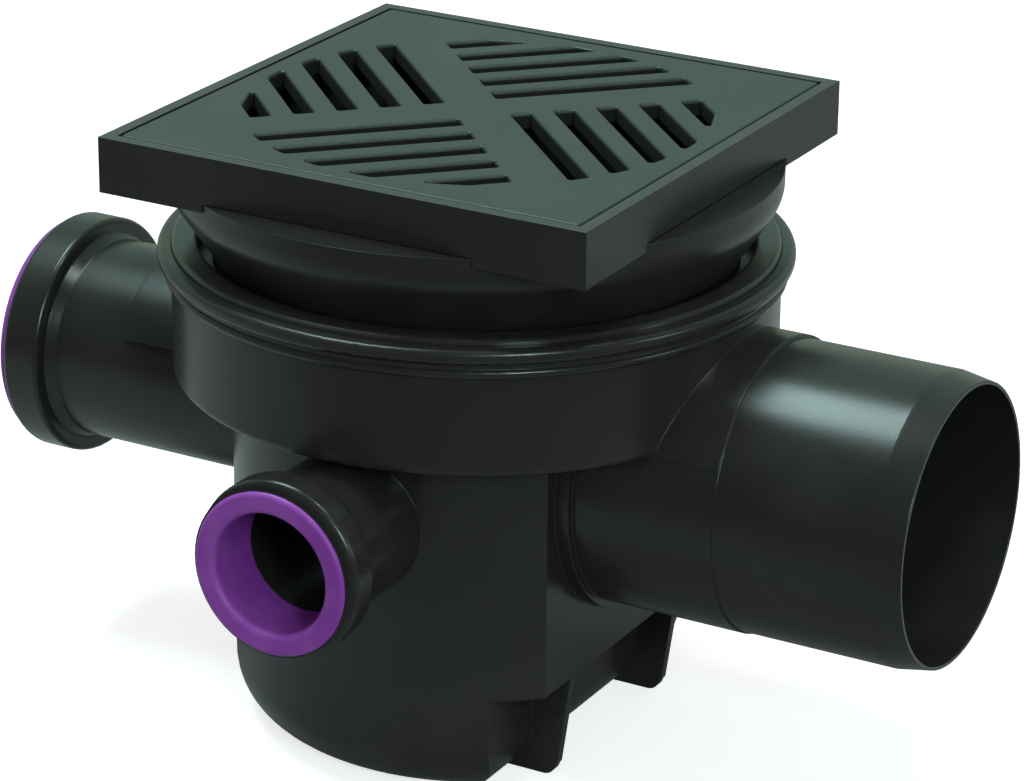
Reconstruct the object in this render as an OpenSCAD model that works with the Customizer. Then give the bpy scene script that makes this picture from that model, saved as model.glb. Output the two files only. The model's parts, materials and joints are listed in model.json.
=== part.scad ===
// Floor gully trap for a basement or wet-room slab.
//
// A moulded body stands in the slab. It has a deep round sump, a wider drum above it, a spigot for
// the main drain, and push-fit sockets for two branch pipes. A round riser slides in a sealed socket
// at the top of the drum, so the inlet can be set to the floor level. A square frame turns on the
// riser, so it can be lined up with the tiles, and a flush grate lies in it. Inside, an elbow plugs
// into the drain spigot and dips below the standing water, which keeps sewer air out of the room.
//
// Z = 0 is the surface the trap stands on, and Z runs up the axis of the drum. +X runs out of the
// drain spigot. The 75 branch enters from -X and the 50 branch from -Y. Sizes are millimetres.

/* [Walls] */
// Wall thickness of the body, the riser and the frame
wall = 3; // [2.4:0.1:3.4]
// Gap between parts that slide or turn on each other
running_gap = 0.3; // [0.2:0.05:0.4]
// Gap around a part that is pressed into a socket or a groove
seal_gap = 0.1; // [0.05:0.05:0.2]

/* [Sump] */
// Outer radius of the sump
sump_r = 92; // [88:1:96]
// Rounding of the sump's bottom edge
sump_edge_r = 24; // [12:1:30]
// Distance from the axis to the flat wall that the drain leaves through
end_wall_x = 66.5; // [64:0.5:70]
// Distance from the axis to the flat side of the sump's deepest part, below that wall
step_x = 50; // [46:1:54]
// Height of the underside between the deep part and the flat wall
step_z = 42; // [34:1:48]
// Rounding under the flat side of the deep part
step_r = 17; // [8:1:22]

/* [Feet] */
// Distance between the outer faces of the two foot plates
feet_w = 88; // [70:1:96]
// Thickness of a foot plate
foot_t = 4; // [3:0.5:6]
// How far a foot plate's front edge leans back from top to bottom
foot_lean = 6; // [3:1:10]
// Rounding of a foot plate's toe
foot_toe_r = 5; // [2:1:8]

/* [Drum] */
// Outer radius of the drum
drum_r = 114; // [112:1:118]
// Height of the drum's underside
drum_z = 140; // [138:1:144]
// Rounding of the drum's bottom edge
drum_edge_r = 3; // [3:0.5:5]
// How much wider the socket at the drum's mouth is than the drum
socket_swell = 1.6; // [1:0.1:3]
// Wall of that socket
socket_wall = 1.8; // [1.4:0.1:2.4]
// Height of the drum's mouth
rim_z = 190; // [189:0.5:191]
// How far the bead around the mouth stands out from the drum
rim_bead = 5; // [4:0.5:6]
// Height of that bead
rim_h = 6; // [5:0.5:7]
// Radius of the thin bead below it
low_bead_r = 2; // [1:0.5:2.5]

/* [Riser socket] */
// Depth of the socket's floor below the drum's mouth
socket_depth = 9; // [8:0.5:10]
// How far the seal's top lies below the drum's mouth
seal_drop = 3; // [2:0.5:4]
// Thickness of the lip that wipes the riser
lip_t = 3; // [2:0.5:4]
// Width of the seal's body
seal_body_w = 8.5; // [7:0.5:9.5]
// Room between the riser's spigot and the ring that holds the seal down
ring_room = 6.5; // [6:0.5:8]
// How far the ring stands above the drum's mouth
ring_proud = 2; // [1:0.5:3]

/* [Drain spigot] */
// Outer radius of the drain spigot
drain_r = 55; // [50:1:55]
// Wall of the drain spigot
drain_wall = 3.4; // [2.8:0.1:4]
// Height of the axis of the drain spigot and of the 75 branch
drain_z = 117; // [114:1:118]
// Distance from the drum's axis to the end of the drain spigot
drain_end_x = 200.5; // [180:1:230]
// Length of the lead-in at the end of the drain spigot
lead_l = 12; // [6:1:16]
// Depth of the lead-in
lead_d = 2.1; // [1:0.1:2.2]
// Distance from the drum's axis to the end of the spigot's thicker root, where a pipe's socket stops
drain_root_x = 128; // [122:1:135]
// How much thicker the spigot is all round, up to there
drain_stop_d = 0.6; // [0.3:0.1:0.8]
// How much wider the root is at its top, under the rim
drain_root_d = 1.2; // [1:0.1:2]
// How far that wider top reaches round the spigot, in degrees above the horizontal
drain_root_angle = 25; // [10:5:45]
// How far the collar at the flat wall stands out from the spigot
collar_d = 3.5; // [2:0.5:4]
// Length of that collar outside the flat wall
collar_l = 5.5; // [3:0.5:8]

/* [75 branch] */
// Bore of the branch socket
b75_bore_r = 37.7; // [34:0.1:38]
// Wall of the branch socket
b75_wall = 1.8; // [1.6:0.1:2.4]
// Distance from the drum's axis to the socket's mouth
b75_mouth = 187; // [175:1:205]
// How much wider the root of the branch is, under the rim
b75_root_d = 1.6; // [1:0.1:2.4]
// Distance from the drum's axis to the end of that wider root
b75_root_x = 137; // [128:1:145]
// How far below its top the wider root reaches round the branch, in degrees above the horizontal
b75_root_angle = 25; // [10:5:45]
// Room for the seal between the bore and the seal chamber
b75_room = 7.2; // [6:0.1:8]
// Radius of the hole in the branch's seal
b75_seal_r = 35.3; // [32:0.1:36]
// How far the seal stands out of the socket
b75_proud = 3; // [2:0.5:6]

/* [50 branch] */
// Height of the branch's axis
b50_z = 108; // [102:0.5:109]
// Bore of the branch socket
b50_bore_r = 25.3; // [22:0.1:26]
// Wall of the branch socket
b50_wall = 2.6; // [1.8:0.1:2.8]
// Distance from the drum's axis to the socket's mouth
b50_mouth = 144.5; // [140:0.5:155]
// Room for the seal between the bore and the seal chamber
b50_room = 5.8; // [5:0.1:7]
// Radius of the hole in the branch's seal
b50_seal_r = 22.8; // [20:0.1:23.5]
// How far the seal stands out of the socket
b50_proud = 1.5; // [1:0.5:4]
// Length of the taper at the socket's mouth
b50_taper_l = 6.5; // [2:0.5:9]
// Depth of that taper
b50_taper_d = 1.8; // [0.4:0.1:1.8]

/* [Branch seal chambers] */
// Depth of a seal chamber
chamber_l = 14; // [12:0.5:18]
// Wall of a seal chamber
chamber_wall = 2.4; // [2:0.1:3]
// Rounding of a seal chamber's rim
chamber_edge_r = 3; // [1:0.5:4]
// Depth of the groove that keeps a seal in its chamber
keeper_d = 1; // [0.6:0.1:1.2]

/* [Riser] */
// Outer radius of the riser's spigot
riser_r = 98; // [96:0.5:99]
// Radius of the riser's flat top, which the frame stands on
riser_top_r = 114; // [112:0.5:118]
// Height of the riser's flat top, as set
riser_top_z = 222; // [219:1:230]
// Height of the straight edge around the top
riser_edge_h = 6; // [4:0.5:8]
// Rounding of the riser's shoulder, below that edge
shoulder_r = 14; // [10:1:16]
// Height at which the riser's cone meets its spigot, as set
cone_low_z = 188; // [188:0.5:190]
// Height of the riser's bottom edge, as set
riser_low_z = 176; // [175.5:0.5:177]

/* [Frame] */
// Side of the square frame
frame_w = 200; // [196:1:206]
// Height of the frame
frame_h = 21; // [19:0.5:26]
// How far the frame reaches down over the edge of the riser's top
rabbet_d = 3; // [2:0.5:5]
// Width of the frame's top edge, around the grate
frame_lip = 4.9; // [4:0.1:7]
// Radius of the throat under the grate
throat_r = 92; // [88:1:93]
// How far the throat reaches down, below the seat of the grate
throat_l = 22; // [14:1:26]
// Number of ribs around the throat
frame_ribs = 16; // [8:4:24]
// Thickness of a rib
rib_t = 2.4; // [1.6:0.1:3]

/* [Grate] */
// Thickness of the grate's plate
grate_t = 6; // [5:0.5:7]
// Gap around the grate
grate_gap = 0.6; // [0.3:0.1:0.8]
// Depth of the ring and the cross below the grate
grate_ring_d = 5; // [3:0.5:6]
// Width of a slot
slot_w = 8; // [6:0.2:9]
// Spacing of the slots
slot_pitch = 16.4; // [14:0.1:16.4]
// Number of slots in each quarter
slot_count = 5; // [3:1:5]
// Width of the solid cross between the quarters
cross_w = 19.6; // [16:0.2:21]
// Room between the ends of the outermost slots and the throat
slot_margin = 4.5; // [4:0.5:8]

/* [Trap elbow] */
// Room between the elbow and the drain's bore, which the elbow's seal fills
elbow_room = 3; // [2.5:0.1:4]
// Wall of the elbow
elbow_wall = 2.5; // [2:0.1:3]
// Inner radius of the bend
bend_in_r = 3.5; // [2:0.5:6]
// Gap between the dipping leg and the flat side of the sump
leg_gap = 2; // [1:0.5:4]
// Height of the lower edge of the dipping leg
leg_low_z = 20; // [14:1:30]
// How far the elbow reaches into the drain spigot, from the flat wall
elbow_reach = 28; // [24:1:34]
// Width of the elbow's seal
elbow_seal_w = 7; // [5:0.5:9]
// Distance from the flat wall to the elbow's seal
elbow_seal_x = 14; // [10:1:16]

/* [Hidden] */
$fn = 96;

far = 400;                                    // longer than anything in the model

drum_in_r = drum_r - wall;
socket_out_r = drum_r + socket_swell;
socket_in_r = socket_out_r - socket_wall;     // holds the riser's seal and its ring
socket_z = rim_z - socket_depth;
seal_top_z = rim_z - seal_drop;
ring_in_r = riser_r + ring_room;

drain_bore_r = drain_r - drain_wall;
b75_neck_r = b75_bore_r + b75_wall;
b50_neck_r = b50_bore_r + b50_wall;
b75_chamber_r = b75_bore_r + b75_room;        // bore of the seal chamber
b50_chamber_r = b50_bore_r + b50_room;

shoulder_c = [riser_top_r - shoulder_r, riser_top_z - riser_edge_h];
shoulder_v = shoulder_c - [riser_r, cone_low_z];
cone_angle = atan2(shoulder_v[1], shoulder_v[0]) - asin(shoulder_r / norm(shoulder_v));

frame_low_z = riser_top_z - rabbet_d;
frame_top_z = frame_low_z + frame_h;
bearing_z = riser_top_z + running_gap;        // what stands on the riser's flat top
grate_z = frame_top_z - grate_t;              // seat of the grate
frame_in_w = frame_w - 2 * wall;
pocket_w = frame_w - 2 * frame_lip;
slot_field_r = throat_r - slot_margin;

elbow_r = drain_bore_r - elbow_room;
bend_r = elbow_r + bend_in_r;
leg_x = step_x - wall - leg_gap - elbow_r;
elbow_end_x = end_wall_x + elbow_reach;
elbow_seal_x0 = end_wall_x + elbow_seal_x;

black = [0.10, 0.11, 0.11];
purple = [0.45, 0.20, 0.60];
grey = [0.45, 0.46, 0.47];

// ---------------------------------------------------------------- helpers

// Half-section of a ring between radii r0 and r1 and heights z0 and z1
module ring_section(r0, r1, z0, z1) {
    translate([r0, z0]) square([r1 - r0, z1 - z0]);
}

// Half-section of a drum of radius r from z0 up to z1, with its bottom edge rounded
module drum_section(r, z0, z1, edge) {
    ring_section(0, r, z0 + edge, z1);
    ring_section(0, r - edge, z0, z1);
    translate([r - edge, z0 + edge]) circle(edge);
}

// Half-section of a ring with a rounded outer face
module bead_section(r0, r1, z0, z1, edge) {
    ring_section(r0, r1 - edge, z0, z1);
    ring_section(r0, r1, z0 + edge, z1 - edge);
    translate([r1 - edge, z0 + edge]) circle(edge);
    translate([r1 - edge, z1 - edge]) circle(edge);
}

// Lays what is drawn along +Z in a horizontal direction, at height z: 0 is +X, 90 is +Y
module lie_along(direction, z) {
    translate([0, 0, z]) rotate([0, 90, direction]) children();
}

// ---------------------------------------------------------------- body

// Side view of the sump, inset by g: deep on the left, stepped up to the flat wall on the right
module sump_side(g) {
    translate([-far / 2, step_z + g]) square([far / 2 + end_wall_x - g, far / 2]);
    translate([-far / 2, step_r]) square([far / 2 + step_x - g, step_z + g - step_r]);
    translate([-far / 2, g]) square([far / 2 + step_x - step_r, step_r - g]);
    translate([step_x - step_r, step_r]) circle(step_r - g);
}

// The sump as a solid, inset by g on every side
module sump_solid(g) {
    intersection() {
        rotate_extrude() drum_section(sump_r - g, g, drum_z + drum_edge_r + g, sump_edge_r - g);
        translate([0, far / 2, 0]) rotate([90, 0, 0]) linear_extrude(far) sump_side(g);
    }
}

// Half-section of the drum, the socket at its mouth and its beads
module drum_outline() {
    low_bead_z = rim_z - rim_h - 2 * low_bead_r;
    drum_section(drum_r, drum_z, rim_z - rim_h, drum_edge_r);
    ring_section(0, socket_out_r, low_bead_z, rim_z - rim_h / 2);
    bead_section(0, drum_r + rim_bead, rim_z - rim_h, rim_z, rim_h * 0.42);
    translate([socket_out_r - low_bead_r / 2, low_bead_z]) circle(low_bead_r);
}

module drum_void() {
    drum_section(drum_in_r, drum_z + wall, rim_z + 1, drum_edge_r / 2);
    ring_section(0, socket_in_r, socket_z, rim_z + 1);
}

// Foot plate below the flat wall, from the deep part's face to a leaning front edge
module foot_plate() {
    toe_x = end_wall_x - foot_lean;
    rotate([90, 0, 0]) linear_extrude(foot_t) difference() {
        polygon([[step_x - step_r, 0], [toe_x, 0], [end_wall_x, step_z],
                 [end_wall_x, step_z + wall / 2], [step_x - step_r, step_z + wall / 2]]);
        translate([toe_x - foot_toe_r, -1]) difference() {
            square([2 * foot_toe_r, foot_toe_r + 1]);
            translate([0, foot_toe_r + 1]) circle(foot_toe_r);
        }
    }
}

// Half-section of a branch socket: a neck with a wider seal chamber, tapered at its mouth
module branch_outline(neck_r, chamber_in_r, mouth, taper_l, taper_d) {
    chamber_r = chamber_in_r + chamber_wall;
    back = mouth - chamber_l - chamber_wall;
    ring_section(0, neck_r, 0, mouth - 1);
    intersection() {
        bead_section(0, chamber_r, back, mouth, min(chamber_edge_r, chamber_wall));
        polygon([[0, back], [chamber_r, back], [chamber_r, mouth - taper_l],
                 [chamber_r - taper_d, mouth], [0, mouth]]);
    }
    polygon([[0, back - 4], [neck_r, back - 4], [neck_r + 2.5, back], [neck_r + 2.5, back + 1],
             [0, back + 1]]);
}

// Half-section of what is open inside it: the bore, the chamber and the groove for the seal
module branch_void(bore_r, chamber_in_r, mouth) {
    ring_section(0, bore_r, 0, mouth + 1);
    ring_section(0, chamber_in_r, mouth - chamber_l, mouth + 1);
    ring_section(0, chamber_in_r + keeper_d, mouth - chamber_l + 3, mouth - chamber_l + 7);
}

// The wider root of a pipe on the axis of the drain, over its upper part only
module wider_root(direction, root_r, end_x, angle) {
    intersection() {
        lie_along(direction, drain_z) cylinder(r = root_r, h = end_x);
        translate([-far / 2, -far / 2, drain_z + root_r * sin(angle)]) cube([far, far, far]);
    }
}

module drain_outside() {
    lie_along(0, drain_z) rotate_extrude() polygon([
        [0, end_wall_x - wall], [drain_r + drain_stop_d, end_wall_x - wall],
        [drain_r + drain_stop_d, drain_root_x], [drain_r, drain_root_x],
        [drain_r, drain_end_x - lead_l], [drain_r - lead_d, drain_end_x], [0, drain_end_x]]);
}

// Collar at the root of the drain spigot, up to the drum's underside
module drain_collar() {
    intersection() {
        lie_along(0, drain_z) cylinder(r = drain_r + collar_d, h = end_wall_x + collar_l);
        translate([end_wall_x - wall, -far / 2, 0]) cube([far, far, drum_z + wall / 2]);
    }
}

module gully_body() {
    color(black) difference() {
        union() {
            difference() {
                union() {
                    rotate_extrude() drum_outline();
                    sump_solid(0);
                    translate([0, foot_t - feet_w / 2, 0]) foot_plate();
                    translate([0, feet_w / 2, 0]) foot_plate();
                    lie_along(180, drain_z) rotate_extrude()
                        branch_outline(b75_neck_r, b75_chamber_r, b75_mouth, 0, 0);
                    wider_root(180, b75_neck_r + b75_root_d, b75_root_x, b75_root_angle);
                    wider_root(0, drain_r + drain_root_d, drain_root_x, drain_root_angle);
                    lie_along(270, b50_z) rotate_extrude()
                        branch_outline(b50_neck_r, b50_chamber_r, b50_mouth, b50_taper_l, b50_taper_d);
                }
                sump_solid(wall);
                rotate_extrude() drum_void();
            }
            drain_outside();
            drain_collar();
        }
        translate([end_wall_x - 2 * wall, 0, 0]) lie_along(0, drain_z)
            cylinder(r = drain_bore_r, h = far);
        lie_along(180, drain_z) rotate_extrude() branch_void(b75_bore_r, b75_chamber_r, b75_mouth);
        lie_along(270, b50_z) rotate_extrude() branch_void(b50_bore_r, b50_chamber_r, b50_mouth);
    }
}

// ---------------------------------------------------------------- seals and ring

// Flat ring that holds the riser's seal down in its socket
module socket_ring() {
    ring_out_r = socket_in_r - seal_gap;
    color(black) rotate_extrude() difference() {
        ring_section(ring_in_r, ring_out_r, seal_top_z + seal_gap, rim_z + ring_proud);
        // outer corner, bevelled where it meets the drum's bead
        polygon([[ring_out_r - 1, rim_z + ring_proud], [ring_out_r, rim_z + ring_proud - 1],
                 [ring_out_r + 1, rim_z + ring_proud + 1]]);
    }
}

// Seal of the riser: a body in the socket, with a lip at its foot that wipes the riser
module riser_seal() {
    out_r = socket_in_r - seal_gap;
    color(purple) rotate_extrude() union() {
        ring_section(out_r - seal_body_w, out_r, socket_z, seal_top_z);
        ring_section(riser_r + running_gap, out_r, socket_z, socket_z + lip_t);
    }
}

// Seal of a branch: a sleeve that fills the chamber, with a bead in its groove and a soft mouth
module branch_seal(chamber_in_r, hole_r, mouth, proud) {
    out_r = chamber_in_r - seal_gap;
    back = mouth - chamber_l + seal_gap;
    rotate_extrude() difference() {
        union() {
            bead_section(0, out_r, back, mouth + proud, 1.5);
            ring_section(0, out_r + keeper_d, mouth - chamber_l + 3 + seal_gap,
                         mouth - chamber_l + 7 - seal_gap);
        }
        ring_section(0, hole_r, back - 1, mouth + proud + 1);
        // flared mouth
        polygon([[0, mouth + proud - 3], [hole_r, mouth + proud - 3],
                 [hole_r + 2, mouth + proud + 0.01], [0, mouth + proud + 0.01]]);
    }
}

module branch_75_seal() {
    color(purple) lie_along(180, drain_z) branch_seal(b75_chamber_r, b75_seal_r, b75_mouth, b75_proud);
}

module branch_50_seal() {
    color(purple) lie_along(270, b50_z) branch_seal(b50_chamber_r, b50_seal_r, b50_mouth, b50_proud);
}

// ---------------------------------------------------------------- trap elbow

// The elbow's dipping leg, bend and plug, as a solid of radius r
module elbow_solid(r, extra) {
    bend_c = [leg_x + bend_r, drain_z - bend_r];
    translate([leg_x, 0, leg_low_z - extra]) cylinder(r = r, h = bend_c[1] - leg_low_z + extra);
    translate([bend_c[0], 0, bend_c[1]]) rotate([90, 0, 0])
        rotate([0, 0, 90]) rotate_extrude(angle = 90) translate([bend_r, 0]) circle(r);
    translate([bend_c[0], 0, 0]) lie_along(0, drain_z)
        cylinder(r = r, h = elbow_end_x - bend_c[0] + extra);
}

module trap_elbow() {
    bead_w = 1.5;
    color(black) difference() {
        union() {
            elbow_solid(elbow_r, 0);
            // a bead on each side of the seal
            for (x = [elbow_seal_x0 - seal_gap - bead_w, elbow_seal_x0 + elbow_seal_w + seal_gap])
                translate([x, 0, 0]) lie_along(0, drain_z) cylinder(r = elbow_r + 1.5, h = bead_w);
        }
        elbow_solid(elbow_r - elbow_wall, 1);
    }
}

module elbow_seal() {
    color(purple) translate([elbow_seal_x0, 0, 0]) lie_along(0, drain_z) difference() {
        cylinder(r = drain_bore_r - seal_gap, h = elbow_seal_w);
        translate([0, 0, -1]) cylinder(r = elbow_r + seal_gap, h = elbow_seal_w + 2);
    }
}

// ---------------------------------------------------------------- riser

// Half-section of the riser as a solid, inset by g: spigot, cone, rounded shoulder and flat top
module riser_section(g) {
    tangent = shoulder_c + (shoulder_r - g) * [sin(cone_angle), -cos(cone_angle)];
    spigot_r = riser_r - g;
    spigot_z = tangent[1] - (tangent[0] - spigot_r) * tan(cone_angle);
    low_z = g > 0 ? riser_low_z - 1 : riser_low_z;
    lead_in = g > 0 ? 0 : 1.5;
    polygon([[0, low_z], [spigot_r - lead_in, low_z], [spigot_r, low_z + 2 * lead_in],
             [spigot_r, spigot_z], tangent, shoulder_c, [0, shoulder_c[1]]]);
    intersection() {
        translate(shoulder_c) circle(shoulder_r - g);
        translate([shoulder_c[0] / 2, shoulder_c[1] - far]) square([far, far]);
    }
    ring_section(0, riser_top_r - g, shoulder_c[1], riser_top_z - g);
}

module riser() {
    color(black) rotate_extrude() difference() {
        riser_section(0);
        riser_section(wall);
        // hole in the flat top, which the frame's throat turns in
        ring_section(0, throat_r + wall + running_gap, shoulder_c[1], riser_top_z + 1);
    }
}

// ---------------------------------------------------------------- frame

module centred_block(w, z0, z1) {
    translate([-w / 2, -w / 2, z0]) cube([w, w, z1 - z0]);
}

module frame_rib() {
    translate([throat_r + wall / 2, -rib_t / 2, bearing_z])
        cube([frame_w, rib_t, grate_z - wall - bearing_z + 1]);
}

module frame() {
    color(black) difference() {
        union() {
            // outer walls, thicker around the grate and cut back over the riser's top
            difference() {
                centred_block(frame_w, frame_low_z, frame_top_z);
                centred_block(frame_in_w, frame_low_z - 1, grate_z);
                centred_block(pocket_w, grate_z - 1, frame_top_z + 1);
                translate([0, 0, frame_low_z - 1])
                    cylinder(r = riser_top_r + running_gap, h = bearing_z - frame_low_z + 1);
            }
            // seat of the grate
            centred_block(frame_in_w + wall, grate_z - wall, grate_z);
            // ribs between the throat and the walls, which stand on the riser's top
            intersection() {
                centred_block(frame_in_w + wall / 2, 0, far);
                for (i = [0 : frame_ribs - 1])
                    rotate([0, 0, (i + 0.5) * 360 / frame_ribs]) frame_rib();
            }
            // throat, which centres the frame in the riser's top
            translate([0, 0, grate_z - throat_l]) cylinder(r = throat_r + wall, h = throat_l);
        }
        cylinder(r = throat_r, h = far);
    }
}

// ---------------------------------------------------------------- grate

// One quarter's slots: parallel, ending in a straight line at the cross and on a circle outside
module quarter_slots() {
    intersection() {
        circle(slot_field_r);
        for (i = [0 : slot_count - 1])
            translate([cross_w / 2 + i * slot_pitch, cross_w / 2]) square([slot_w, far]);
    }
}

module grate() {
    grate_w = pocket_w - 2 * grate_gap;
    ring_out_r = throat_r - grate_gap;
    color(grey) difference() {
        union() {
            centred_block(grate_w, grate_z, frame_top_z);
            // ring that centres the grate in the throat, and a cross that stiffens it
            translate([0, 0, grate_z - grate_ring_d]) rotate([0, 0, 45]) linear_extrude(grate_ring_d + 1) {
                difference() {
                    circle(ring_out_r);
                    circle(ring_out_r - wall);
                }
                intersection() {
                    circle(ring_out_r);
                    union() {
                        square([far, wall], center = true);
                        square([wall, far], center = true);
                    }
                }
            }
        }
        // the pattern of opposite quarters is the same, and that of neighbours is its mirror image
        translate([0, 0, grate_z - 1]) rotate([0, 0, 45]) linear_extrude(grate_t + 2) {
            for (side = [0, 180]) rotate([0, 0, side]) {
                mirror([0, 1]) quarter_slots();
                mirror([1, -1]) quarter_slots();
            }
        }
    }
}

gully_body();
socket_ring();
riser_seal();
branch_75_seal();
branch_50_seal();
trap_elbow();
elbow_seal();
riser();
frame();
grate();
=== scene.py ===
"""Looks of the floor gully trap: finishes, soft studio light and the camera.

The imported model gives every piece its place. This file dresses the mouldings and the seals, builds
the grate and the smaller branch's seal anew with rounded edges, and sets up the studio. Lengths in
the settings are in millimetres, apart from those of the studio's floor and lamps, which are in
metres, as everything in Blender is.
"""

from __future__ import annotations

import json
import logging
import math
from dataclasses import dataclass, field
from enum import Enum
from typing import Any

import bmesh
import bpy
from mathutils import Matrix, Vector

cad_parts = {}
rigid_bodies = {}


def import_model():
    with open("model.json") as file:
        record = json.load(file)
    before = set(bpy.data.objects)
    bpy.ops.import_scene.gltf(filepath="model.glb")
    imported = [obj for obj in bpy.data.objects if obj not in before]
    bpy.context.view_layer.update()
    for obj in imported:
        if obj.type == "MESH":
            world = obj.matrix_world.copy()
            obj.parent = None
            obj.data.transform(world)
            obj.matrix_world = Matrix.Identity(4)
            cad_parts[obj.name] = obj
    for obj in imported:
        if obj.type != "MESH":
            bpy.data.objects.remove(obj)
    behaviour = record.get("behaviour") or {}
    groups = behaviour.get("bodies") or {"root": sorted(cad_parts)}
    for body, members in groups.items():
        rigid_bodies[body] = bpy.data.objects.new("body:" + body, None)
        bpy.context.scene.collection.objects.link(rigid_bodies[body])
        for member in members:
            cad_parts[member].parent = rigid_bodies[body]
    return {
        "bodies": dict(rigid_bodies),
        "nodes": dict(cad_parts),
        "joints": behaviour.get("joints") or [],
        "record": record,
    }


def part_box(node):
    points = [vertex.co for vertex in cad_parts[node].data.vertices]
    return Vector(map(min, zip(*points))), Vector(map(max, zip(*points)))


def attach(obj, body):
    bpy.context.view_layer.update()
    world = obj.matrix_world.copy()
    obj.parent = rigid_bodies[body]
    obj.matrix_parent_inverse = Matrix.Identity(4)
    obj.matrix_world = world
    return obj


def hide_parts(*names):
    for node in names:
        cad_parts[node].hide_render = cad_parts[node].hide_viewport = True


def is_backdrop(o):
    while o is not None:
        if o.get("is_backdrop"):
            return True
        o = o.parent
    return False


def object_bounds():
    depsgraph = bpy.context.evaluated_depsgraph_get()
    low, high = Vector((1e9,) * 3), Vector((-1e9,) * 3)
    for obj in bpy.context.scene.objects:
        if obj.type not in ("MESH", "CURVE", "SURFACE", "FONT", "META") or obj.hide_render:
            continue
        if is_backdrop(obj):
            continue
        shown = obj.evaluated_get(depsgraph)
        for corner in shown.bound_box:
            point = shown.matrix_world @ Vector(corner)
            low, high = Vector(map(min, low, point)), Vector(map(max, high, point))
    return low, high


LOG = logging.getLogger("gully_trap")
MM = 0.001

Triple = tuple[float, float, float]
Colour = Triple
Point = tuple[float, float]

EDGE_SAMPLES = 6  # rays that look for the edges to be rounded in shading
WHITE: Colour = (1.0, 1.0, 1.0)


# ---------------------------------------------------------------- nodes and their maths


class Expr:
    """A socket that can be used in Python arithmetic; each operation adds a Math node."""

    def __init__(self, graph: Graph, socket: bpy.types.NodeSocket) -> None:
        """Wraps a socket.

        Args:
            graph: the graph that new Math nodes go into.
            socket: the output socket that holds the value.
        """
        self.graph = graph
        self.socket = socket

    def _math(self, operation: str, *values: Any) -> Expr:
        """Adds one Math node and returns its result."""
        return self.graph.math(operation, *values)

    def __add__(self, other: Any) -> Expr:
        """Sum."""
        return self._math("ADD", self, other)

    def __sub__(self, other: Any) -> Expr:
        """Difference."""
        return self._math("SUBTRACT", self, other)

    def __rsub__(self, other: Any) -> Expr:
        """Difference with the value on the left."""
        return self._math("SUBTRACT", other, self)

    def __mul__(self, other: Any) -> Expr:
        """Product."""
        return self._math("MULTIPLY", self, other)

    def __truediv__(self, other: Any) -> Expr:
        """Quotient."""
        return self._math("DIVIDE", self, other)

    __radd__ = __add__
    __rmul__ = __mul__

    def clamped(self) -> Expr:
        """The value held between 0 and 1."""
        return self.graph.math("ADD", self, 0.0, clamp=True)

    def over(self, value: float) -> Expr:
        """1 where this is more than a value, and 0 elsewhere."""
        return self._math("GREATER_THAN", self, value)

    def ramp(self, low: float, high: float) -> Expr:
        """A smooth step from 0 at low to 1 at high.

        Args:
            low: the value where the step starts.
            high: the value where it ends.

        Returns:
            The step.
        """
        node = self.graph.node(
            "ShaderNodeMapRange",
            {"interpolation_type": "SMOOTHSTEP", "clamp": True},
            {"Value": self, "From Min": low, "From Max": high},
        )
        return Expr(self.graph, node.outputs["Result"])


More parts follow.
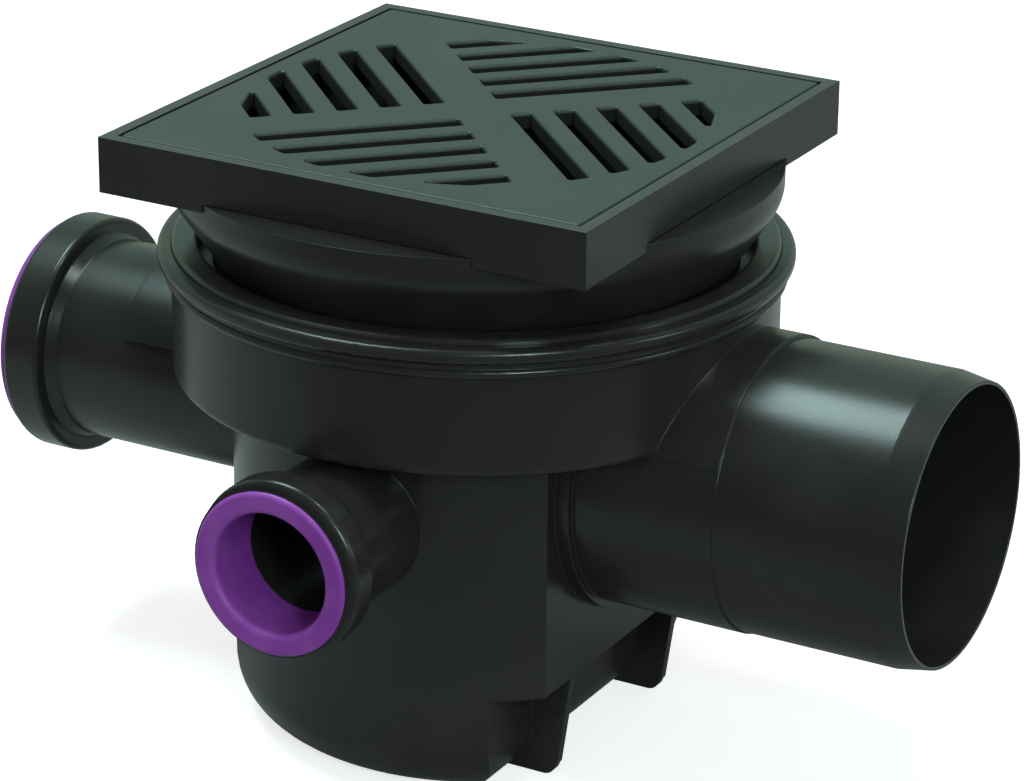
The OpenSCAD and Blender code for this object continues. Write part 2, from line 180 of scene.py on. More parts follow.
class Graph:
    """A node tree, with one method that adds any node."""

    def __init__(self, tree: bpy.types.NodeTree) -> None:
        """Wraps a node tree.

        Args:
            tree: the tree of a material, a world or a geometry modifier.
        """
        self.tree = tree

    def node(
        self,
        kind: str,
        settings: dict[str, Any] | None = None,
        sockets: dict[str | int, Any] | None = None,
    ) -> bpy.types.Node:
        """Adds a node.

        Args:
            kind: the node's type name.
            settings: the node's own settings, which are set first.
            sockets: values or links for its inputs, by name or by number.

        Returns:
            The node.
        """
        node = self.tree.nodes.new(kind)
        for name, value in (settings or {}).items():
            setattr(node, name, value)
        for key, value in (sockets or {}).items():
            self.feed(node.inputs[key], value)
        return node

    def feed(self, socket: bpy.types.NodeSocket, value: Any) -> None:
        """Links a socket to an expression or another socket, or sets its value.

        Args:
            socket: the input socket.
            value: an expression, an output socket or a plain value.
        """
        if isinstance(value, Expr):
            value = value.socket
        if isinstance(value, bpy.types.NodeSocket):
            self.tree.links.new(value, socket)
        elif isinstance(value, tuple) and len(value) == 3 and socket.type == "RGBA":
            socket.default_value = (*value, 1.0)
        else:
            socket.default_value = value

    def math(self, operation: str, *values: Any, clamp: bool = False) -> Expr:
        """Adds a Math node.

        Args:
            operation: the node's operation.
            values: one, two or three numbers or expressions.
            clamp: whether the result is held between 0 and 1.

        Returns:
            The result.
        """
        settings = {"operation": operation, "use_clamp": clamp}
        node = self.node("ShaderNodeMath", settings, dict(enumerate(values)))
        return Expr(self, node.outputs[0])

    def vector(self, x: Any = 0.0, y: Any = 0.0, z: Any = 0.0) -> bpy.types.NodeSocket:
        """Combines three numbers or expressions into a vector."""
        return self.node("ShaderNodeCombineXYZ", {}, {0: x, 1: y, 2: z}).outputs[0]

    def parts(self, vector: Any) -> tuple[Expr, Expr, Expr]:
        """The three numbers of a vector."""
        x, y, z = self.node("ShaderNodeSeparateXYZ", {}, {0: vector}).outputs
        return Expr(self, x), Expr(self, y), Expr(self, z)

    def vector_math(self, operation: str, output: str, *values: Any) -> bpy.types.NodeSocket:
        """Adds a Vector Math node and returns the named output."""
        settings = {"operation": operation}
        return self.node("ShaderNodeVectorMath", settings, dict(enumerate(values))).outputs[output]

    def ray(self, kind: str) -> bpy.types.NodeSocket:
        """1 for rays of a kind, such as "Camera", and 0 for others."""
        return self.node("ShaderNodeLightPath").outputs[f"Is {kind} Ray"]

    def noise(self, place: Any, kind: Noise) -> Expr:
        """Adds a noise.

        Args:
            place: the coordinates that it reads.
            kind: the kind of noise.

        Returns:
            The noise, between 0 and 1.
        """
        if kind.stretch:
            place = self.node("ShaderNodeMapping", {}, {"Vector": place, "Scale": kind.stretch})
            place = place.outputs[0]
        sockets = {
            "Vector": place,
            "Scale": kind.scale,
            "Detail": kind.detail,
            "Roughness": kind.roughness,
        }
        return Expr(self, self.node("ShaderNodeTexNoise", {}, sockets).outputs["Fac"])

    def mix_colour(self, factor: Any, first: Any, second: Any) -> bpy.types.NodeSocket:
        """Mixes two colours.

        Args:
            factor: 0 gives the first colour and 1 the second.
            first: a colour or a socket.
            second: a colour or a socket.

        Returns:
            The mixed colour.
        """
        node = self.node("ShaderNodeMix", {"data_type": "RGBA"}, {0: factor, 6: first, 7: second})
        return node.outputs[2]


# ---------------------------------------------------------------- finishes


@dataclass(frozen=True)
class Noise:
    """One kind of noise over a surface.

    Attributes:
        scale: how fine it is, in grains to the metre.
        detail: how many finer layers it has.
        roughness: how strong the finer layers are.
        stretch: factors by which it gets finer along each axis, or None.
    """

    scale: float
    detail: float
    roughness: float = 0.5
    stretch: Triple | None = None


class Grain(Enum):
    """How a mould's surface prints on the plastic."""

    FINE = "fine"
    MATT = "matt"


GRAIN_DEPTH: dict[Grain, float] = {Grain.FINE: 0.03, Grain.MATT: 0.07}


@dataclass(frozen=True)
class Turned:
    """A turned stretch of a moulding, shaded by its exact slope and not by its facets.

    The stretch is a rounded bead: its section runs at one distance round a core, which is a line
    parallel to the axis.

    Attributes:
        axis: "x", "y" or "z".
        side: which way the stretch lies along the axis, 1 or -1.
        middle: where the axis lies, as the two other coordinates in their order, in millimetres.
        core: distance of the core from the axis.
        core_from: where the core starts along the axis.
        core_to: where it ends.
        reach: the least and most distance from the core that belong to the stretch.
        span: where the stretch starts and ends along the axis.
        weight: how far the facets' own normal gives way.
    """

    axis: str
    side: int
    middle: Point
    core: float
    core_from: float
    core_to: float
    reach: Point
    span: Point
    weight: float = 1.0

    def shade(self, graph: Graph, place: Any, normal: Any) -> bpy.types.NodeSocket:
        """Puts the stretch's own slope in place of a normal.

        Args:
            graph: the material's graph.
            place: the object coordinates.
            normal: the normal everywhere else.

        Returns:
            The normal with this stretch exact.
        """
        x, y, z = graph.parts(place)
        along, first, second = {"x": (x, y, z), "y": (y, x, z), "z": (z, x, y)}[self.axis]
        along = along * float(self.side)
        first, second = first - self.middle[0] * MM, second - self.middle[1] * MM
        radius = graph.math("SQRT", first * first + second * second)
        over = radius - self.core * MM
        low, high = self.core_from * MM, self.core_to * MM
        ahead = along - graph.math("MINIMUM", graph.math("MAXIMUM", along, low), high)
        gap = graph.math("SQRT", over * over + ahead * ahead)
        inside = (
            gap.over(self.reach[0] * MM)
            * (1.0 - gap.over(self.reach[1] * MM))
            * over.over(0.0)
            * along.over(self.span[0] * MM)
            * (1.0 - along.over(self.span[1] * MM))
            * self.weight
        )
        share = over / radius
        first, second, ahead = first * share, second * share, ahead * float(self.side)
        away = {
            "x": (ahead, first, second),
            "y": (first, ahead, second),
            "z": (first, second, ahead),
        }[self.axis]
        exact = graph.vector_math("NORMALIZE", "Vector", graph.vector(*away))
        settings = {"data_type": "VECTOR"}
        return graph.node("ShaderNodeMix", settings, {0: inside, 4: normal, 5: exact}).outputs[1]


def new_material(name: str) -> tuple[bpy.types.Material, Graph, bpy.types.Node, Any]:
    """Makes a material with a plain shader.

    Args:
        name: its name.

    Returns:
        The material, its graph, its shader and the object coordinates.
    """
    material = bpy.data.materials.new(name)
    material.use_nodes = True
    graph = Graph(material.node_tree)
    shader = material.node_tree.nodes["Principled BSDF"]
    return material, graph, shader, graph.node("ShaderNodeTexCoord").outputs["Object"]


def rounded_edges(graph: Graph, radius_mm: float) -> bpy.types.NodeSocket:
    """The normal of a piece whose sharp edges are rounded in shading."""
    settings = {"samples": EDGE_SAMPLES}
    return graph.node("ShaderNodeBevel", settings, {"Radius": radius_mm * MM}).outputs[0]


@dataclass(frozen=True)
class MouldMarks:
    """What the mould and the cooling leave on a moulding.

    Attributes:
        cloud: a soft mottling.
        flow: the level marks of the flow.
        speck: the finest grain.
        flow_depth: depth of the flow marks, as a share of the grain's.
        pale_factor: how much paler than the colour the mottling gets.
        pale_offset: what is added to that.
        pale_span: between which values of the mottling it gets pale.
        cloud_gloss: how far the mottling changes the roughness.
        flow_gloss: how far the flow marks change it.
    """

    cloud: Noise = Noise(22.0, 3.0, 0.55)
    flow: Noise = Noise(9.0, 4.0, 0.55, (1.0, 1.0, 14.0))
    speck: Noise = Noise(1400.0, 2.0, 0.55)
    flow_depth: float = 0.4
    pale_factor: float = 1.3
    pale_offset: float = 0.002
    pale_span: Point = (0.45, 0.75)
    cloud_gloss: float = 0.10
    flow_gloss: float = 0.05


@dataclass(frozen=True)
class DustAndSheen:
    """Pale dust and painted sheen: a pale colour on what faces up, which lightens the upward faces.

    Attributes:
        amount: how much lies there, from 0 to 1.
        colour: its colour, linear.
        slope: the upward part of the surface's direction at which the pale colour starts and is
            full.
        patches: how much of it lies in patches.
    """

    amount: float
    colour: Colour = (0.30, 0.33, 0.31)
    slope: Point = (0.6, 1.0)
    patches: float = 0.6


@dataclass(frozen=True)
class PaintedShade:
    """Painted shade below a height: a dark colour that stands in for the shade on the walls of
    slots, with a duller finish.

    Attributes:
        height: where it starts, above the floor.
        fade: over which height it sets in.
        colour: the painted shade's colour, linear.
        dullness: what it adds to the roughness.
    """

    height: float
    fade: float = 0.8
    colour: Colour = (0.004, 0.003, 0.003)
    dullness: float = 0.45


@dataclass(frozen=True)
class MouldedPlastic:
    """Injection-moulded black plastic.

    Attributes:
        name: the material's name.
        colour: its colour, linear.
        roughness: how wide its highlights are.
        specular: how strong its reflections are, where 0.5 is a plain plastic.
        edge_mm: radius to which its sharp edges are rounded in shading.
        grain: how the mould's surface prints on it.
        marks: what else the mould leaves on it.
        dust_and_sheen: pale dust and painted sheen on what faces up, or None.
        turned: the stretches that are shaded by their exact slope.
        shade: painted shade below a height, a dark, dull colour, or None.
    """

    name: str
    colour: Colour = (0.0158, 0.0142, 0.0138)
    roughness: float = 0.26
    specular: float = 0.38
    edge_mm: float = 0.5
    grain: Grain = Grain.FINE
    marks: MouldMarks = MouldMarks()
    dust_and_sheen: DustAndSheen | None = None
    turned: tuple[Turned, ...] = ()
    shade: PaintedShade | None = None

    def build(self) -> bpy.types.Material:
        """Makes the material.

        Returns:
            The material, which reads object coordinates.
        """
        material, graph, shader, place = new_material(self.name)
        marks = self.marks
        cloud, flow = graph.noise(place, marks.cloud), graph.noise(place, marks.flow)
        speck = graph.noise(place, marks.speck)

        smooth = rounded_edges(graph, self.edge_mm)
        for stretch in self.turned:
            smooth = stretch.shade(graph, place, smooth)
        relief = {
            "Distance": GRAIN_DEPTH[self.grain] * MM,
            "Height": speck + flow * marks.flow_depth,
            "Normal": smooth,
        }
        bump = graph.node("ShaderNodeBump", {}, relief)
        graph.feed(shader.inputs["Normal"], bump.outputs[0])

        pale = tuple(c * marks.pale_factor + marks.pale_offset for c in self.colour)
        colour = graph.mix_colour(cloud.ramp(*marks.pale_span), self.colour, pale)
        # dust and painted sheen: a pale colour over the faces that look up, partly in patches
        if self.dust_and_sheen:
            up = graph.parts(graph.node("ShaderNodeNewGeometry").outputs["Normal"])[2]
            patches = cloud * self.dust_and_sheen.patches + (1.0 - self.dust_and_sheen.patches)
            dust_and_sheen_share = up.ramp(*self.dust_and_sheen.slope) * patches * self.dust_and_sheen.amount
            colour = graph.mix_colour(dust_and_sheen_share, colour, self.dust_and_sheen.colour)
        level = self.roughness - (marks.cloud_gloss + marks.flow_gloss) / 2
        roughness = cloud * marks.cloud_gloss + flow * marks.flow_gloss + level
        # painted shade: below a height the colour goes near black, standing in for the shade on the
        # slots' walls, and the roughness rises
        if self.shade:
            low = self.shade.height - self.shade.fade
            inside = 1.0 - graph.parts(place)[2].ramp(low * MM, self.shade.height * MM)
            colour = graph.mix_colour(inside, colour, self.shade.colour)
            roughness = roughness + inside * self.shade.dullness
        graph.feed(shader.inputs["Base Color"], colour)
        graph.feed(shader.inputs["Roughness"], roughness.clamped())
        shader.inputs["Specular IOR Level"].default_value = self.specular
        return material


@dataclass(frozen=True)
class SealRubber:
    """Coloured rubber of a lip seal: satin, with a soft sheen and a faint bloom.

    Attributes:
        name: the material's name.
        colour: its colour, linear.
        bloom: the paler colour of the bloom, linear.
        roughness: how wide its highlights are.
        specular: how strong its reflections are.
        edge_mm: radius to which its sharp edges are rounded in shading.
        patch: the noise of the bloom's patches.
        patch_span: between which values of that noise the bloom sets in.
        patch_gloss: how far the patches change the roughness.
        grain: the finest grain.
        grain_mm: its depth.
    """

    name: str
    colour: Colour = (0.215, 0.036, 0.300)
    bloom: Colour = (0.275, 0.062, 0.365)
    roughness: float = 0.42
    specular: float = 0.28
    edge_mm: float = 0.7
    patch: Noise = Noise(45.0, 3.0)
    patch_span: Point = (0.4, 0.7)
    patch_gloss: float = 0.12
    grain: Noise = Noise(1100.0, 2.0)
    grain_mm: float = 0.03

    def build(self) -> bpy.types.Material:
        """Makes the material.

        Returns:
            The material, which reads object coordinates.
        """
        material, graph, shader, place = new_material(self.name)
        patch, grain = graph.noise(place, self.patch), graph.noise(place, self.grain)
        smooth = rounded_edges(graph, self.edge_mm)
        relief = {"Distance": self.grain_mm * MM, "Height": grain, "Normal": smooth}
        bump = graph.node("ShaderNodeBump", {}, relief)
        graph.feed(shader.inputs["Normal"], bump.outputs[0])
        colour = graph.mix_colour(patch.ramp(*self.patch_span), self.colour, self.bloom)
        graph.feed(shader.inputs["Base Color"], colour)
        roughness = patch * self.patch_gloss + (self.roughness - self.patch_gloss / 2)
        graph.feed(shader.inputs["Roughness"], roughness)
        shader.inputs["Specular IOR Level"].default_value = self.specular
        return material


# ---------------------------------------------------------------- geometry trees

MERGE_DISTANCE = 0.002  # points nearer than this are one
SHARP_ANGLE = 40.0  # edges sharper than this stay sharp, in degrees
FACE_WEIGHT = 90  # how far large faces outweigh small ones in the shading


class GeometryTree(Graph):
    """A Geometry Nodes tree with named inputs, which are set on the modifier by identifier."""

    def __init__(self, name: str) -> None:
        """Makes an empty tree.

        Args:
            name: the tree's name.
        """
        super().__init__(bpy.data.node_groups.new(name, "GeometryNodeTree"))
        self.entry = self.node("NodeGroupInput")
        self.values: dict[str, Any] = {}

    def _input(self, name: str, kind: str, value: Any) -> Expr:
        """Adds a named input.

        Args:
            name: its name.
            kind: its type.
            value: its value, which the modifier is given by the input's identifier.

        Returns:
            The input.
        """
        socket = self.tree.interface.new_socket(name, in_out="INPUT", socket_type=kind)
        self.values[socket.identifier] = value
        return Expr(self, self.entry.outputs[name])

    def size(self, name: str, value_mm: float) -> Expr:
        """A named input that holds a length, which is given in millimetres and read in metres."""
        return self._input(name, "NodeSocketFloat", value_mm * MM)

    def count(self, name: str, value: int) -> Expr:
        """A named input that holds a whole number."""
        return self._input(name, "NodeSocketInt", value)

    def shape(self, kind: str, settings: dict | None = None, sockets: dict | None = None) -> Any:
        """Adds a node and returns its first output."""
        return self.node(kind, settings, sockets).outputs[0]

    def kept(self, name: str, vector: bool) -> bpy.types.NodeSocket:
        """A stored attribute, which is a vector or a number."""
        kind = {"data_type": "FLOAT_VECTOR" if vector else "FLOAT"}
        return self.shape("GeometryNodeInputNamedAttribute", kind, {"Name": name})

    def keep(self, shape: Any, name: str, value: Any, vector: bool) -> bpy.types.NodeSocket:
        """Stores an attribute on a shape's points.

        Args:
            shape: the shape.
            name: the attribute's name.
            value: its value.
            vector: whether it is a vector or a number.

        Returns:
            The shape with the attribute.
        """
        kind = {"data_type": "FLOAT_VECTOR" if vector else "FLOAT", "domain": "POINT"}
        sockets = {0: shape, "Name": name, "Value": value}
        return self.shape("GeometryNodeStoreNamedAttribute", kind, sockets)

    def scaled(self, vector: Any, factor: Any) -> bpy.types.NodeSocket:
        """A vector times a number."""
        sockets = {0: vector, "Scale": factor}
        return self.shape("ShaderNodeVectorMath", {"operation": "SCALE"}, sockets)

    def moved(self, shape: Any, offset: Any, **sockets: Any) -> bpy.types.NodeSocket:
        """The shape with its points moved by an offset."""
        return self.shape("GeometryNodeSetPosition", {}, {0: shape, "Offset": offset, **sockets})

    def turned(self, shape: Any, degrees: float) -> bpy.types.NodeSocket:
        """The shape turned round Z."""
        turn = (0.0, 0.0, math.radians(degrees))
        return self.shape("GeometryNodeTransform", {}, {0: shape, "Rotation": turn})

    def joined(self, *shapes: Any) -> bpy.types.NodeSocket:
        """Joins shapes.

        Args:
            shapes: the shapes.

        Returns:
            All of them as one.
        """
        node = self.node("GeometryNodeJoinGeometry")
        for shape in shapes:
            self.feed(node.inputs[0], shape)
        return node.outputs[0]

    def finish(self, shape: Any, material: bpy.types.Material) -> None:
        """Ends the tree in Realize Instances and Set Material.

        Args:
            shape: the finished geometry.
            material: its material.
        """
        kind = "NodeSocketGeometry"
        self.tree.interface.new_socket("Geometry", in_out="OUTPUT", socket_type=kind)
        real = self.shape("GeometryNodeRealizeInstances", {}, {0: shape})
        painted = self.shape("GeometryNodeSetMaterial", {}, {0: real, "Material": material})
        self.feed(self.node("NodeGroupOutput").inputs[0], painted)

    def bake(self, name: str) -> bpy.types.Object:
        """Runs the tree and keeps its result as a plain mesh.

        Args:
            name: the object's name.

        Returns:
            The object, with smooth rounded edges and no modifier left on it.
        """
        scene = bpy.context.scene
        source = bpy.data.objects.new(f"{name} source", bpy.data.meshes.new(f"{name} source"))
        scene.collection.objects.link(source)
        modifier = source.modifiers.new("build", "NODES")
        modifier.node_group = self.tree
        for identifier, value in self.values.items():
            modifier[identifier] = value
        mesh = bpy.data.meshes.new_from_object(
            source.evaluated_get(bpy.context.evaluated_depsgraph_get())
        )
        source.modifiers.remove(modifier)
        bpy.data.objects.remove(source)
        closed = bmesh.new()
        closed.from_mesh(mesh)
        bmesh.ops.remove_doubles(closed, verts=closed.verts, dist=MERGE_DISTANCE * MM)
        bmesh.ops.recalc_face_normals(closed, faces=closed.faces)
        closed.to_mesh(mesh)
        closed.free()
        mesh.name = name
        piece = bpy.data.objects.new(name, mesh)
        scene.collection.objects.link(piece)
        smooth_faces(piece)
        return piece


def smooth_faces(piece: bpy.types.Object) -> None:
    """Shades a piece smooth over its rounded edges and keeps its flat faces flat.

    Args:
        piece: the piece, whose mesh is this script's own.
    """
    piece.data.shade_smooth()
    piece.data.set_sharp_from_angle(angle=math.radians(SHARP_ANGLE))
    weighted = piece.modifiers.new("weighted normals", "WEIGHTED_NORMAL")
    weighted.keep_sharp, weighted.weight = True, FACE_WEIGHT
    depsgraph = bpy.context.evaluated_depsgraph_get()
    mesh = bpy.data.meshes.new_from_object(piece.evaluated_get(depsgraph))
    piece.modifiers.remove(weighted)
    name = piece.data.name
    piece.data.name = f"{name} before"
    mesh.name = name
    piece.data = mesh


@dataclass
class Grate:
    """The grate: a plate with four fields of parallel slots, and a ring and a cross below it.

    The slots of a quarter start at the solid cross and end on a circle. Every edge is rounded.

    Attributes:
        plate: side of the plate.
        plate_corner: rounding of the plate's corners, seen from above.
        top: height of its upper face.
        thickness: its thickness.
        slot: width of a slot.
        pitch: spacing of the slots.
        slots: how many slots a quarter has.
        cross: width of the solid cross.
        reach: radius of the circle that the slots end on.
        slot_corner: rounding of a slot's corners, seen from above.
        tip_corner: how much rounder its blunt outer corner gets from one slot to the next.
        lip: rounding of the slots' upper edges.
        edge: rounding of the plate's upper edge.
        ring: outer radius of the ring.
        ring_wall: wall of the ring and of the cross below it.
        ring_depth: how far they reach below the plate.
        ring_joint: how far they reach up into it.
        ring_facets: how many facets the ring has.
        corner_facets: how many facets a corner has, seen from above.
        steps: how many facets a rounded edge has.
        finish: what it is made of, with dust and painted sheen on its top and painted shade below
            it.
    """

    plate: float = 188.4
    plate_corner: float = 1.6
    top: float = 240.0
    thickness: float = 6.0
    slot: float = 7.4
    pitch: float = 16.4
    slots: int = 5
    cross: float = 20.2
    reach: float = 87.0
    slot_corner: float = 0.9
    tip_corner: float = 1.1
    lip: float = 1.3
    edge: float = 0.9
    ring: float = 91.4
    ring_wall: float = 3.0
    ring_depth: float = 5.0
    ring_joint: float = 0.4
    ring_facets: int = 128
    corner_facets: int = 4
    steps: int = 6
    finish: MouldedPlastic = field(
        default_factory=lambda: MouldedPlastic(
            "grate plastic",
            colour=(0.0085, 0.0135, 0.0118),
            roughness=0.40,
            grain=Grain.MATT,
            # dust and painted sheen on the grate's top
            dust_and_sheen=DustAndSheen(0.06),
            edge_mm=0.0,
            # painted shade: everything below the top, such as the slots' walls, is coloured near
            # black
            shade=PaintedShade(239.3),
        )
    )

    def _quarter(self, tree: GeometryTree) -> bpy.types.NodeSocket:
        """Lays out the slots of one quarter.

        Args:
            tree: the tree.

        Returns:
            The slots as flat quads between the bars of the cross, with their corners' rounding.
        """
        slot, pitch = tree.size("Slot width", self.slot), tree.size("Slot pitch", self.pitch)
        start = tree.size("Cross width", self.cross) * 0.5
        reach = tree.size("Slot reach", self.reach)
        square = {"Size X": 1.0, "Size Y": 1.0, "Vertices X": 2, "Vertices Y": 2}
        unit = tree.shape("GeometryNodeMeshGrid", {}, square)
        copies = tree.node(
            "GeometryNodeDuplicateElements",
            {"domain": "FACE"},
            {0: unit, "Amount": tree.count("Slots in a quarter", self.slots)},
        )
        index = Expr(tree, copies.outputs["Duplicate Index"])
        here = tree.parts(tree.shape("GeometryNodeInputPosition"))
        across, along = here[0] + 0.5, here[1] + 0.5
        x = start + index * pitch + across * slot
        end = tree.math("SQRT", reach * reach - x * x)
        y = start + along * (end - start)
        corner = tree.size("Slot corner", self.slot_corner)
        blunt = tree.size("Tip corner", self.tip_corner) * index * across * along
        rounded = tree.keep(copies.outputs[0], "corner", corner + blunt, vector=False)
        placed = {0: rounded, "Position": tree.vector(x, y)}
        return tree.shape("GeometryNodeSetPosition", {}, placed)

    def _slot_outlines(self, tree: GeometryTree) -> bpy.types.NodeSocket:
        """Draws the outlines of all slots.

        Args:
            tree: the tree.

        Returns:
            The outlines with rounded corners, and with the way out of the slot stored on them.
        """
        quarter = self._quarter(tree)
        mirrored = tree.shape("GeometryNodeTransform", {}, {0: quarter, "Scale": (1.0, -1.0, 1.0)})
        position = tree.shape("GeometryNodeInputPosition")
        x, y, _ = tree.parts(position)
        swap = {0: quarter, "Position": tree.vector(y, x)}
        half = tree.joined(mirrored, tree.shape("GeometryNodeSetPosition", {}, swap))
        all_slots = tree.turned(tree.joined(half, tree.turned(half, 180.0)), 45.0)
        per_face = {"data_type": "FLOAT_VECTOR", "domain": "FACE"}
        middle = tree.shape("GeometryNodeFieldOnDomain", per_face, {0: position})
        marked = tree.keep(all_slots, "middle", middle, vector=True)
        curves = tree.shape("GeometryNodeMeshToCurve", {}, {0: marked})
        return self._rounded(tree, curves, tree.kept("corner", vector=False))

    def _rounded(self, tree: GeometryTree, curves: Any, radius: Any) -> bpy.types.NodeSocket:
        """Rounds the corners of closed curves.

        Args:
            tree: the tree.
            curves: the curves, with the middle that each goes round stored on it.
            radius: the rounding.

        Returns:
            The curves, with the way out of each stored on it.
        """
        rounding = {0: curves, "Radius": radius, "Count": self.corner_facets, "Limit Radius": True}
        filleted = tree.shape("GeometryNodeFilletCurve", {"mode": "POLY"}, rounding)
        tangent = tree.shape("GeometryNodeInputTangent")
        side = tree.vector_math("CROSS_PRODUCT", "Vector", tangent, (0.0, 0.0, 1.0))
        position, middle = tree.shape("GeometryNodeInputPosition"), tree.kept("middle", vector=True)
        away = tree.vector_math("SUBTRACT", "Vector", position, middle)
        facing = Expr(tree, tree.vector_math("DOT_PRODUCT", "Value", side, away))
        out = tree.scaled(side, tree.math("SIGN", facing))
        return tree.keep(filleted, "out", out, vector=True)

    def _skin(
        self, tree: GeometryTree, outlines: list[tuple[Any, float, Expr]]
    ) -> bpy.types.NodeSocket:
        """Closes the plate: rounded walls along the outlines, and a face above and below.

        Args:
            tree: the tree.
            outlines: curves, each with 1 for a hole or -1 for the plate's own outline, and with the
                rounding of its upper edge.

        Returns:
            The closed plate, with its upper face at height 0.
        """
        thickness = tree.size("Plate thickness", self.thickness)
        out = tree.kept("out", vector=True)
        turns = [math.pi / 2 * i / self.steps for i in range(self.steps + 1)]
        path = [(1.0 - math.sin(turn), math.cos(turn) - 1.0) for turn in turns]
        shells, rims = [], []
        for curves, way, edge in outlines:
            rim = tree.moved(curves, tree.scaled(out, edge * way))
            wall, front = tree.shape("GeometryNodeCurveToMesh", {}, {0: rim}), True
            for (side_a, z_a), (side_b, z_b) in zip(path, path[1:]):
                wall, front = self._grown(tree, wall, front, edge * (z_b - z_a))
                step = tree.scaled(out, edge * ((side_b - side_a) * way))
                wall = tree.moved(wall, step, Selection=front)
            wall, front = self._grown(tree, wall, front, edge - thickness)
            shells.append(wall)
            rims.append(rim)
        flat = tree.joined(*(curves for curves, _, _ in outlines))
        above, below = (
            tree.shape("GeometryNodeFillCurve", {"mode": "TRIANGLES"}, {0: rim})
            for rim in (tree.joined(*rims), flat)
        )
        return tree.joined(*shells, above, tree.moved(below, tree.vector(z=thickness * -1.0)))

    def _grown(self, tree: GeometryTree, wall: Any, front: Any, rise: Expr) -> tuple[Any, Any]:
        """Draws the edges at a wall's front out in height.

        Args:
            tree: the tree.
            wall: the wall.
            front: which of its edges are at the front.
            rise: how far up they go.

        Returns:
            The wall and its new front.
        """
        sockets = {0: wall, "Selection": front, "Offset": tree.vector(z=rise)}
        node = tree.node("GeometryNodeExtrudeMesh", {"mode": "EDGES"}, sockets)
        return node.outputs["Mesh"], node.outputs["Top"]

    def _ring_and_cross(self, tree: GeometryTree) -> bpy.types.NodeSocket:
        """Builds the ring and the cross below the plate.

        Args:
            tree: the tree.

        Returns:
            Both, in their place below a plate whose upper face is at height 0.
        """
        radius = tree.size("Ring radius", self.ring)
        wall = tree.size("Ring wall", self.ring_wall)
        depth = tree.size("Ring depth", self.ring_depth)
        outer, inner = (
            tree.shape(
                "GeometryNodeMeshCylinder",
                {},
                {"Vertices": self.ring_facets, "Radius": size, "Depth": height},
            )
            for size, height in ((radius, depth), (radius - wall, depth * 1.5))
        )
        cut = {"operation": "DIFFERENCE"}
        ring = tree.shape("GeometryNodeMeshBoolean", cut, {0: outer, 1: inner})
        size = tree.vector((radius - wall * 0.5) * 2.0, wall, depth)
        bar = tree.shape("GeometryNodeMeshCube", {}, {"Size": size})
        drop = tree.size("Plate", self.thickness) + depth * 0.5 - self.ring_joint * MM
        cross = tree.joined(tree.turned(bar, 45.0), tree.turned(bar, 135.0))
        return tree.moved(tree.joined(ring, cross), tree.vector(z=drop * -1.0))

    def build(self) -> None:
        """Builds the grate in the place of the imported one."""
        tree = GeometryTree("slotted grate")
        slots = self._slot_outlines(tree)
        side = tree.size("Plate side", self.plate)
        sides = {"Width": side, "Height": side}
        square = tree.shape("GeometryNodeCurvePrimitiveQuadrilateral", {}, sides)
        outline = self._rounded(tree, square, tree.size("Plate corner", self.plate_corner))
        lip, edge = tree.size("Slot lip", self.lip), tree.size("Edge rounding", self.edge)
        plate = self._skin(tree, [(slots, 1.0, lip), (outline, -1.0, edge)])
        whole = tree.joined(plate, self._ring_and_cross(tree))
        lift = tree.vector(z=tree.size("Top height", self.top))
        tree.finish(tree.moved(whole, lift), self.finish.build())
        piece = tree.bake("slotted_grate")
        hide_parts("grate")
        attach(piece, "frame")
        LOG.info("%s: %s", piece.name, self.finish.name)


# ---------------------------------------------------------------- pieces


_PACKED: dict[str, Any] = {}


def packed() -> dict[str, Any]:
    """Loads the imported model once.

    Returns:
        What it holds, with its pieces by name under "nodes".
    """
    if not _PACKED:
        _PACKED.update(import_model())
    return _PACKED


def dress(node: str, material: bpy.types.Material) -> None:
    """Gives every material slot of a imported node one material.

    Args:
        node: the node's name.
        material: the material.
    """
    piece = packed()["nodes"][node]
    if not piece.material_slots:
        piece.data.materials.append(material)
    for place in piece.material_slots:
        place.material = material
    LOG.info("%s: %s", node, material.name)


@dataclass
class Mouldings:
    """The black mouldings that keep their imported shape.

    Attributes:
        turned: the turned stretches of the body.
        body: finish of the body, made from them.
        ring: finish of the socket's ring.
        elbow: finish of the elbow.
        riser: finish of the riser.
        frame: finish of the frame.
    """

    turned: tuple[Turned, ...] = (
        # the bead of the drum's rim, and the thinner one below it
        Turned("z", 1, (0.0, 0.0), 116.48, 186.52, 187.48, (1.90, 2.70), (183.9, 190.1)),
        Turned("z", 1, (0.0, 0.0), 114.60, 180.0, 180.0, (1.55, 2.20), (177.9, 181.72)),
        # the larger branch's collar, and the mouth of the smaller one's
        Turned("x", -1, (0.0, 117.0), 44.9, 173.0, 184.6, (2.00, 2.60), (170.5, 187.1)),
        Turned("y", -1, (0.0, 108.0), 30.9, 128.0, 138.0, (0.5, 6.6), (137.9, 144.45)),
        # the step at the drain's root, only softened, so that it still shows
        Turned("x", 1, (0.0, 117.0), 0.0, 120.0, 140.0, (54.7, 55.7), (127.0, 129.0), 0.5),
    )
    body: MouldedPlastic = field(init=False)
    ring: MouldedPlastic = field(
        default_factory=lambda: MouldedPlastic("ring plastic", roughness=0.17, edge_mm=1.5)
    )
    elbow: MouldedPlastic = field(default_factory=lambda: MouldedPlastic("elbow plastic"))
    riser: MouldedPlastic = field(
        default_factory=lambda: MouldedPlastic("riser plastic", roughness=0.3)
    )
    # the frame's top has dust and painted sheen, a pale colour on what faces up
    frame: MouldedPlastic = field(
        default_factory=lambda: MouldedPlastic("frame plastic", roughness=0.34, dust_and_sheen=DustAndSheen(0.05))
    )

    def __post_init__(self) -> None:
        """Makes the body's finish, with its turned stretches."""
        self.body = MouldedPlastic("body plastic", edge_mm=0.8, turned=self.turned)

    def dress(self) -> None:
        """Dresses each moulding."""
        for node, finish in (
            ("gully_body", self.body),
            ("socket_ring", self.ring),
            ("trap_elbow", self.elbow),
            ("riser", self.riser),
            ("frame", self.frame),
        ):
            dress(node, finish.build())


